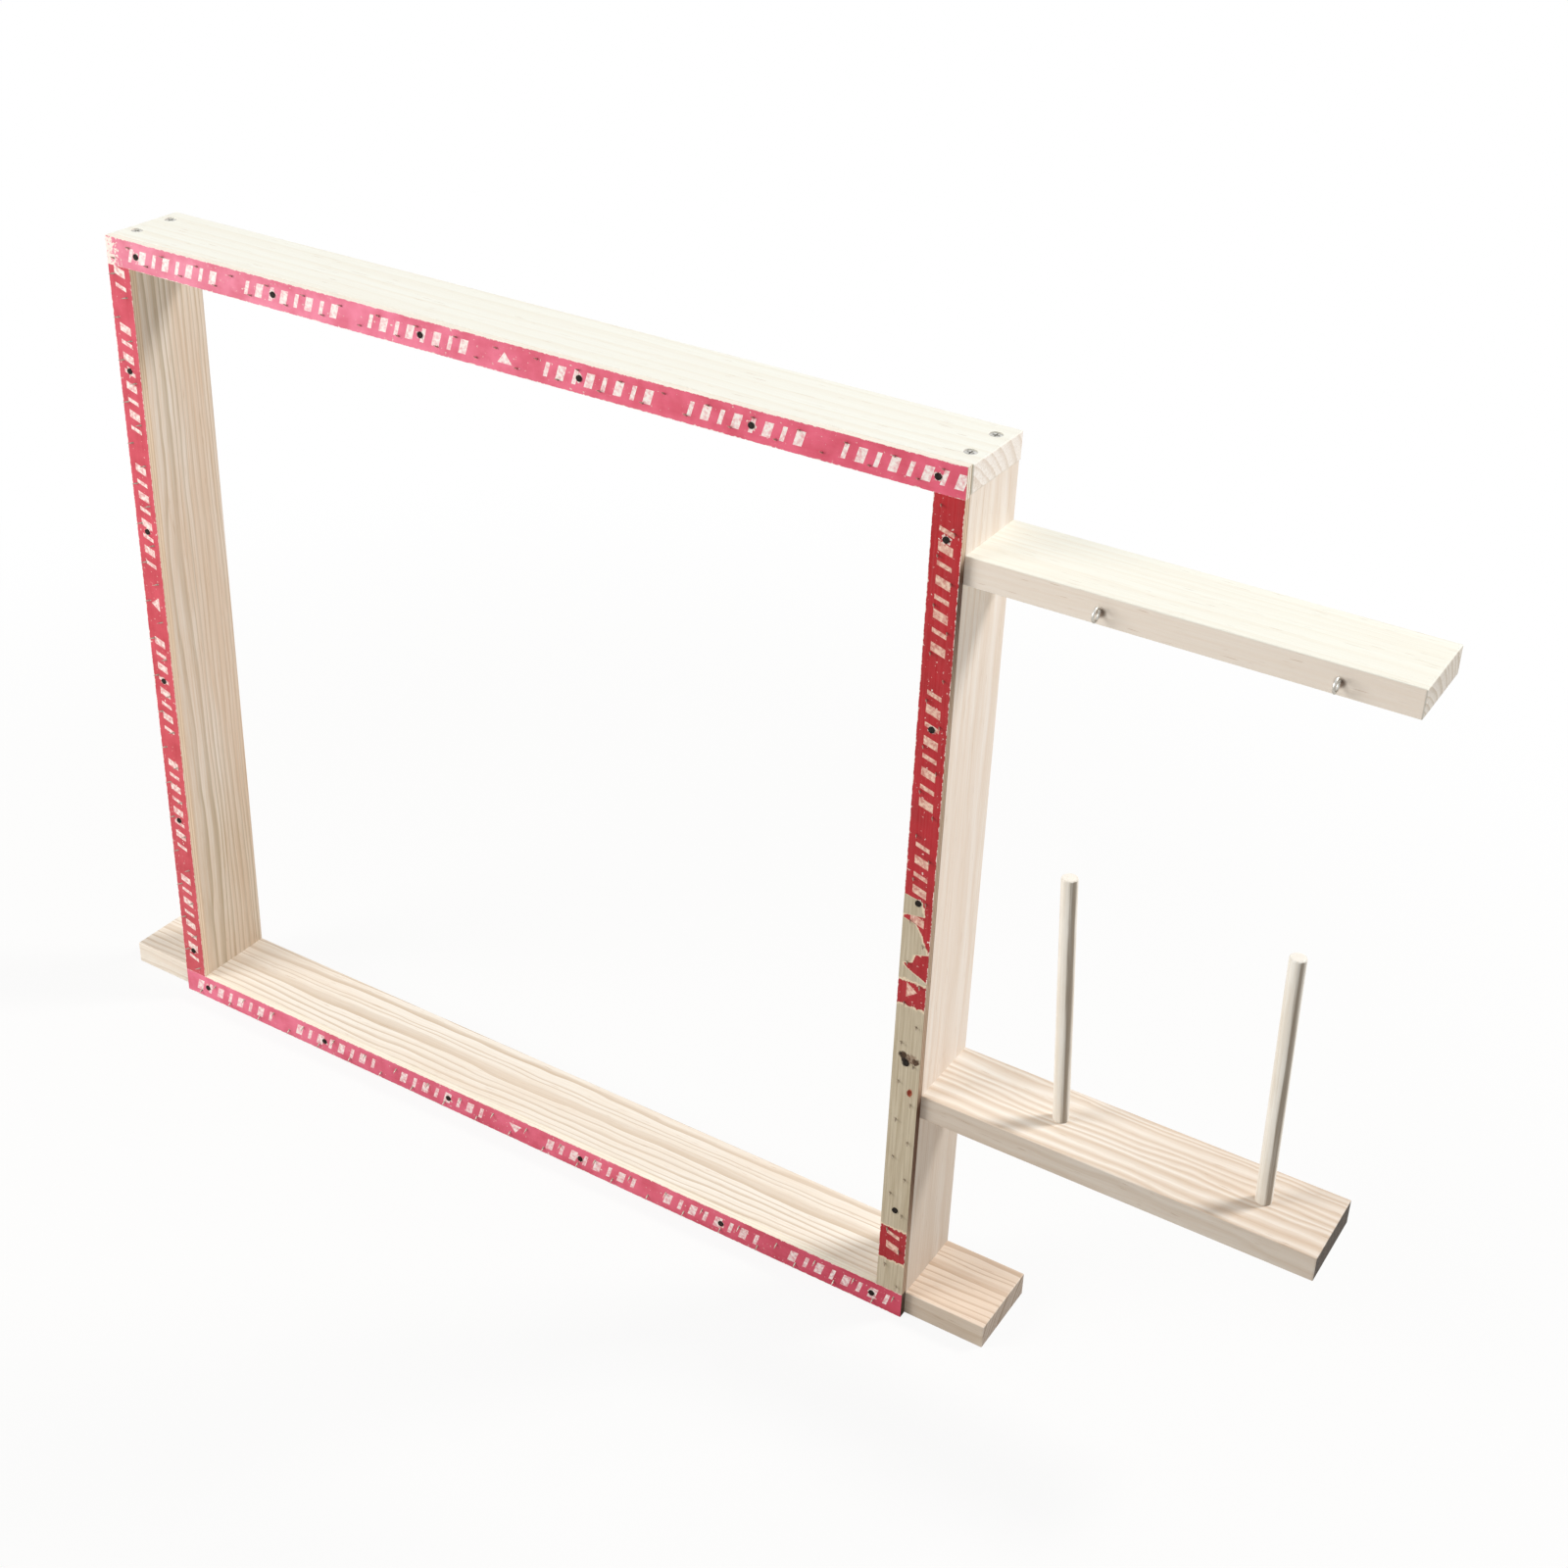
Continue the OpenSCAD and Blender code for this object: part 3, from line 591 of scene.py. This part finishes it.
metalLooks = {
    "zincPlate": {"base": "#DEDDD8", "cloud": "#B0AEA8", "metallic": 1.0, "roughness": (0.3, 0.5),
                  "cloudSize": 2.5},
    "drawnSteel": {"base": "#CFC8BC", "cloud": "#97897A", "metallic": 1.0, "roughness": (0.35, 0.6),
                   "cloudSize": 1.5},
    "bluedIron": {"base": "#35302D", "cloud": "#1C1917", "metallic": 0.85, "roughness": (0.4, 0.6),
                  "cloudSize": 2.0},
}
metalNodes = {
    "zincPlate": ("inner_yarn_eye", "outer_yarn_eye", "top_rail_screws", "base_rail_screws",
                  "yarn_arm_screws", "cone_shelf_screws"),
    "drawnSteel": ("top_strip_pins", "right_strip_pins", "bottom_strip_pins", "left_strip_pins"),
    "bluedIron": ("top_strip_nails", "right_strip_nails", "bottom_strip_nails", "left_strip_nails"),
}


def smallMetal(name, look):
    material, add = newMaterial(name)
    place = add("TexCoord")
    cloud = add("TexNoise", {"Vector": place.outputs["Object"], "Scale": 1000.0 / look["cloudSize"],
                             "Detail": 3.0, "Roughness": 0.6})
    cloud = add("MapRange", {0: cloud, 1: 0.35, 2: 0.68})
    tone = add("Mix", {"Factor": cloud, "A": linear(look["base"]), "B": linear(look["cloud"])},
               data_type="RGBA")
    smooth, dull = look["roughness"]
    gloss = add("MapRange", {0: cloud, 3: smooth, 4: dull})
    relief = add("Bump", {"Height": cloud, "Strength": 0.3, "Distance": 0.00005})
    shader = add("BsdfPrincipled", {"Base Color": tone, "Roughness": gloss, "Normal": relief,
                                    "Metallic": look["metallic"]})
    return finishMaterial(material, shader)


for name, look in metalLooks.items():
    metal = smallMetal(name, look)
    for nodeName in metalNodes[name]:
        dress(nodeName, metal)
print("pins, nails, screws and eyes dressed")


# Floor, lamps and world

studio = {
    "floorSize": 16.0,  # metres
    "floorLevel": -0.0005,  # just under the part, so that no two faces share a place
    "floorColour": "#E4E2DE",
    "shadowReach": (0.6, 1.4),  # metres from the middle, where the floor's white grows full
    "shadowWhite": 0.9,
    "worldLevel": 0.40,
    "worldColour": "#FFFDFA",
    "lamps": {
        "backRightKey": {"position": (2.25, 2.00, 3.10), "aim": (0.1, 0.0, 0.35), "size": 0.9,
                         "power": 97.0, "colour": "#FFFDFA"},
        "leftFill": {"position": (-1.50, -1.70, 1.45), "aim": (0.0, 0.0, 0.35), "size": 1.6,
                     "power": 40.0, "colour": "#FFFCF8"},
    },
}


def makeFloor(setup):
    half = setup["floorSize"] / 2
    mesh = bpy.data.meshes.new("floor")
    corners = [(-half, -half, 0), (half, -half, 0), (half, half, 0), (-half, half, 0)]
    mesh.from_pydata(corners, [], [(0, 1, 2, 3)])
    floor = bpy.data.objects.new("floor", mesh)
    floor.location.z = setup["floorLevel"]
    bpy.context.scene.collection.objects.link(floor)
    # smooth matt paper, white to the eye, that keeps the shadow
    material, add = newMaterial("paleFloor")
    place = add("TexCoord")
    tooth = add("TexNoise", {"Vector": place.outputs["Object"], "Scale": 900.0, "Detail": 2.0})
    relief = add("Bump", {"Height": tooth, "Strength": 0.1, "Distance": 0.0001})
    paper = add("BsdfDiffuse", {"Color": linear(setup["floorColour"]), "Normal": relief})
    glow = add("Emission", {"Color": (1.0, 1.0, 1.0, 1.0), "Strength": 1.0})
    away = add("VectorMath", {0: place.outputs["Object"]}, operation="LENGTH")
    near, far = setup["shadowReach"]
    away = add("MapRange", {0: away, 1: near, 2: far, 3: setup["shadowWhite"], 4: 1.0},
               interpolation_type="SMOOTHSTEP")
    ray = add("LightPath")
    seen = add("Math", {0: ray.outputs["Is Camera Ray"], 1: away}, operation="MULTIPLY")
    shader = add("MixShader", {0: seen, 1: paper, 2: glow})
    mesh.materials.append(finishMaterial(material, shader))


def makeLamp(name, setup):
    data = bpy.data.lights.new(name, "AREA")
    data.shape = "DISK"
    data.size = setup["size"]
    data.energy = setup["power"]
    data.color = linear(setup["colour"])[:3]
    lamp = bpy.data.objects.new(name, data)
    lamp.location = setup["position"]
    lamp.rotation_mode = "QUATERNION"
    beam = Vector(setup["aim"]) - Vector(setup["position"])
    lamp.rotation_quaternion = beam.to_track_quat("-Z", "Y")
    lamp.visible_camera = False
    bpy.context.scene.collection.objects.link(lamp)


def makeWorld(setup):
    world = bpy.data.worlds.new("softRoom")
    world.use_nodes = True
    world.node_tree.nodes.clear()
    add = partial(addNode, world.node_tree)
    ray = add("LightPath")
    seen = add("Math", {0: ray.outputs["Is Camera Ray"], 1: ray.outputs["Is Glossy Ray"]},
               operation="MAXIMUM")
    seen = add("Math", {0: seen, 1: ray.outputs["Is Transmission Ray"]}, operation="MAXIMUM")
    soft = add("Background", {"Color": linear(setup["worldColour"]),
                              "Strength": setup["worldLevel"]})
    white = add("Background", {"Color": (1.0, 1.0, 1.0, 1.0), "Strength": 1.0})
    shader = add("MixShader", {0: seen, 1: soft, 2: white})
    add("OutputWorld", {"Surface": shader})
    bpy.context.scene.world = world


makeFloor(studio)
for lampName, lampSetup in studio["lamps"].items():
    makeLamp(lampName, lampSetup)
makeWorld(studio)
bpy.context.scene.view_settings.view_transform = "Standard"
print("floor, lamps and world ready")
